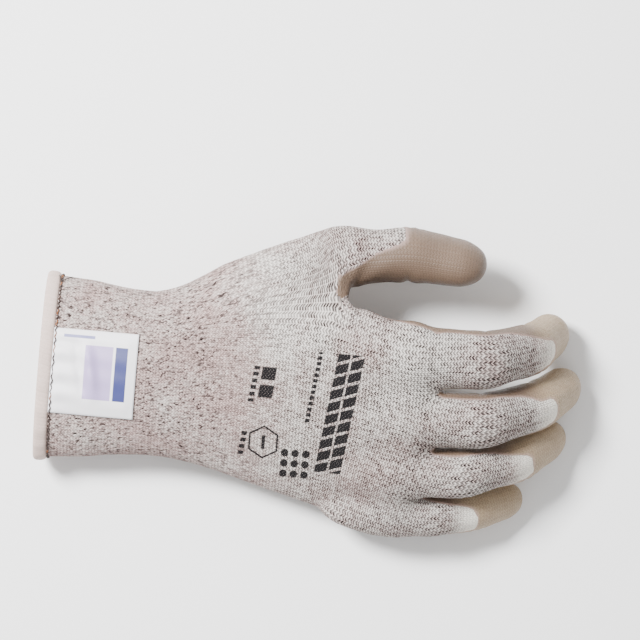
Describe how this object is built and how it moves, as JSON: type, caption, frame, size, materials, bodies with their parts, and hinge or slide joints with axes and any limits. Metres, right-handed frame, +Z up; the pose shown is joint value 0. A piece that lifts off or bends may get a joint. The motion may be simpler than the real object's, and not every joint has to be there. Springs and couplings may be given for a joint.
{
  "type": "cut resistant glove",
  "caption": "Right-hand knitted cut-resistant work glove with a polyurethane-dipped palm and fingertips, a bound cuff, and stalls that bend at the knuckles.",
  "frame": {"origin": "middle of the footprint, on the table the glove rests on", "axes": "+X from the cuff to the fingertips, +Y to the thumb side, +Z up, the back of the hand upwards"},
  "size_m": [0.228, 0.1278, 0.0581],
  "materials": {
    "knit": "fine plain knit, off-white with dark flecks",
    "coating": "thin taupe polyurethane film, semi-matte, the knit showing through",
    "binding": "beige-grey overlocked binding",
    "thread": "dark brown twisted thread",
    "elastic": "white covered elastic yarn",
    "label": "white satin ribbon with a plain lilac and blue mark"
  },
  "bodies": {
    "palm": {"palm_knit": "knit", "palm_coating": "coating"},
    "cuff": {"cuff_knit": "knit", "hem_binding": "binding", "hem_stitching": "thread", "cuff_elastic_yarn": "elastic", "label": "label"},
    "index_proximal": {"index_proximal_knit": "knit", "index_proximal_coating": "coating"},
    "index_middle": {"index_middle_knit": "knit", "index_middle_coating": "coating"},
    "index_distal": {"index_distal_knit": "knit", "index_distal_coating": "coating"},
    "middle_proximal": {"middle_proximal_knit": "knit", "middle_proximal_coating": "coating"},
    "middle_middle": {"middle_middle_knit": "knit", "middle_middle_coating": "coating"},
    "middle_distal": {"middle_distal_knit": "knit", "middle_distal_coating": "coating"},
    "ring_proximal": {"ring_proximal_knit": "knit", "ring_proximal_coating": "coating"},
    "ring_middle": {"ring_middle_knit": "knit", "ring_middle_coating": "coating"},
    "ring_distal": {"ring_distal_knit": "knit", "ring_distal_coating": "coating"},
    "little_proximal": {"little_proximal_knit": "knit", "little_proximal_coating": "coating"},
    "little_middle": {"little_middle_knit": "knit", "little_middle_coating": "coating"},
    "little_distal": {"little_distal_knit": "knit", "little_distal_coating": "coating"},
    "thumb_proximal": {"thumb_proximal_knit": "knit", "thumb_proximal_coating": "coating"},
    "thumb_distal": {"thumb_distal_knit": "knit", "thumb_distal_coating": "coating"}
  },
  "joints": [
    {"name": "wrist_bend", "type": "hinge", "parent": "palm", "child": "cuff", "pos_m": [-0.05896, -0.00547, 0.021], "axis": [0, 0.9877, 0.1564], "range_deg": [-25, 25], "stiffness_Nm_per_rad": 0.15},
    {"name": "index_root_bend", "type": "hinge", "parent": "palm", "child": "index_proximal", "pos_m": [0.04104, 0.01088, 0.04827], "axis": [-0.0099, 0.9432, 0.3322], "range_deg": [-12, 45], "stiffness_Nm_per_rad": 0.05},
    {"name": "index_middle_bend", "type": "hinge", "parent": "index_proximal", "child": "index_middle", "pos_m": [0.07089, 0.01215, 0.04555], "axis": [-0.0099, 0.9432, 0.3322], "range_deg": [-30, 50], "stiffness_Nm_per_rad": 0.05},
    {"name": "index_tip_bend", "type": "hinge", "parent": "index_middle", "child": "index_distal", "pos_m": [0.09005, 0.01841, 0.02835], "axis": [-0.0099, 0.9432, 0.3322], "range_deg": [-21, 35], "stiffness_Nm_per_rad": 0.05},
    {"name": "middle_root_bend", "type": "hinge", "parent": "palm", "child": "middle_proximal", "pos_m": [0.04104, -0.01472, 0.04116], "axis": [-0.0314, 0.8982, 0.4384], "range_deg": [-12, 45], "stiffness_Nm_per_rad": 0.05},
    {"name": "middle_middle_bend", "type": "hinge", "parent": "middle_proximal", "child": "middle_middle", "pos_m": [0.07197, -0.01305, 0.03994], "axis": [-0.0314, 0.8982, 0.4384], "range_deg": [-28, 50], "stiffness_Nm_per_rad": 0.05},
    {"name": "middle_tip_bend", "type": "hinge", "parent": "middle_middle", "child": "middle_distal", "pos_m": [0.09421, -0.00496, 0.02497], "axis": [-0.0314, 0.8982, 0.4384], "range_deg": [-19.6, 35], "stiffness_Nm_per_rad": 0.05},
    {"name": "ring_root_bend", "type": "hinge", "parent": "palm", "child": "ring_proximal", "pos_m": [0.03804, -0.03708, 0.03191], "axis": [-0.0444, 0.8469, 0.5299], "range_deg": [-12, 45], "stiffness_Nm_per_rad": 0.05},
    {"name": "ring_middle_bend", "type": "hinge", "parent": "ring_proximal", "child": "ring_middle", "pos_m": [0.066, -0.03562, 0.03191], "axis": [-0.0444, 0.8469, 0.5299], "range_deg": [-24, 50], "stiffness_Nm_per_rad": 0.05},
    {"name": "ring_tip_bend", "type": "hinge", "parent": "ring_middle", "child": "ring_distal", "pos_m": [0.08836, -0.02776, 0.02122], "axis": [-0.0444, 0.8469, 0.5299], "range_deg": [-16.8, 35], "stiffness_Nm_per_rad": 0.05},
    {"name": "little_root_bend", "type": "hinge", "parent": "palm", "child": "little_proximal", "pos_m": [0.03204, -0.05524, 0.02026], "axis": [-0.0222, 0.8478, 0.5299], "range_deg": [-12, 45], "stiffness_Nm_per_rad": 0.05},
    {"name": "little_middle_bend", "type": "hinge", "parent": "little_proximal", "child": "little_middle", "pos_m": [0.05501, -0.05421, 0.01957], "axis": [-0.0222, 0.8478, 0.5299], "range_deg": [-12, 50], "stiffness_Nm_per_rad": 0.05},
    {"name": "little_tip_bend", "type": "hinge", "parent": "little_middle", "child": "little_distal", "pos_m": [0.07157, -0.05091, 0.01499], "axis": [-0.0222, 0.8478, 0.5299], "range_deg": [-8.4, 35], "stiffness_Nm_per_rad": 0.05},
    {"name": "thumb_root_bend", "type": "hinge", "parent": "palm", "child": "thumb_proximal", "pos_m": [0.00604, 0.04943, 0.03], "axis": [-0.0788, 0.468, -0.8802], "range_deg": [-25, 5], "stiffness_Nm_per_rad": 0.05},
    {"name": "thumb_knuckle_bend", "type": "hinge", "parent": "thumb_proximal", "child": "thumb_distal", "pos_m": [0.03576, 0.05345, 0.02948], "axis": [-0.0788, 0.468, -0.8802], "range_deg": [-15, 15], "stiffness_Nm_per_rad": 0.05}
  ],
  "couplings": [
    {"joint": "index_tip_bend", "follows": "index_middle_bend", "ratio": 0.7},
    {"joint": "middle_tip_bend", "follows": "middle_middle_bend", "ratio": 0.7},
    {"joint": "ring_tip_bend", "follows": "ring_middle_bend", "ratio": 0.7},
    {"joint": "little_tip_bend", "follows": "little_middle_bend", "ratio": 0.7}
  ]
}
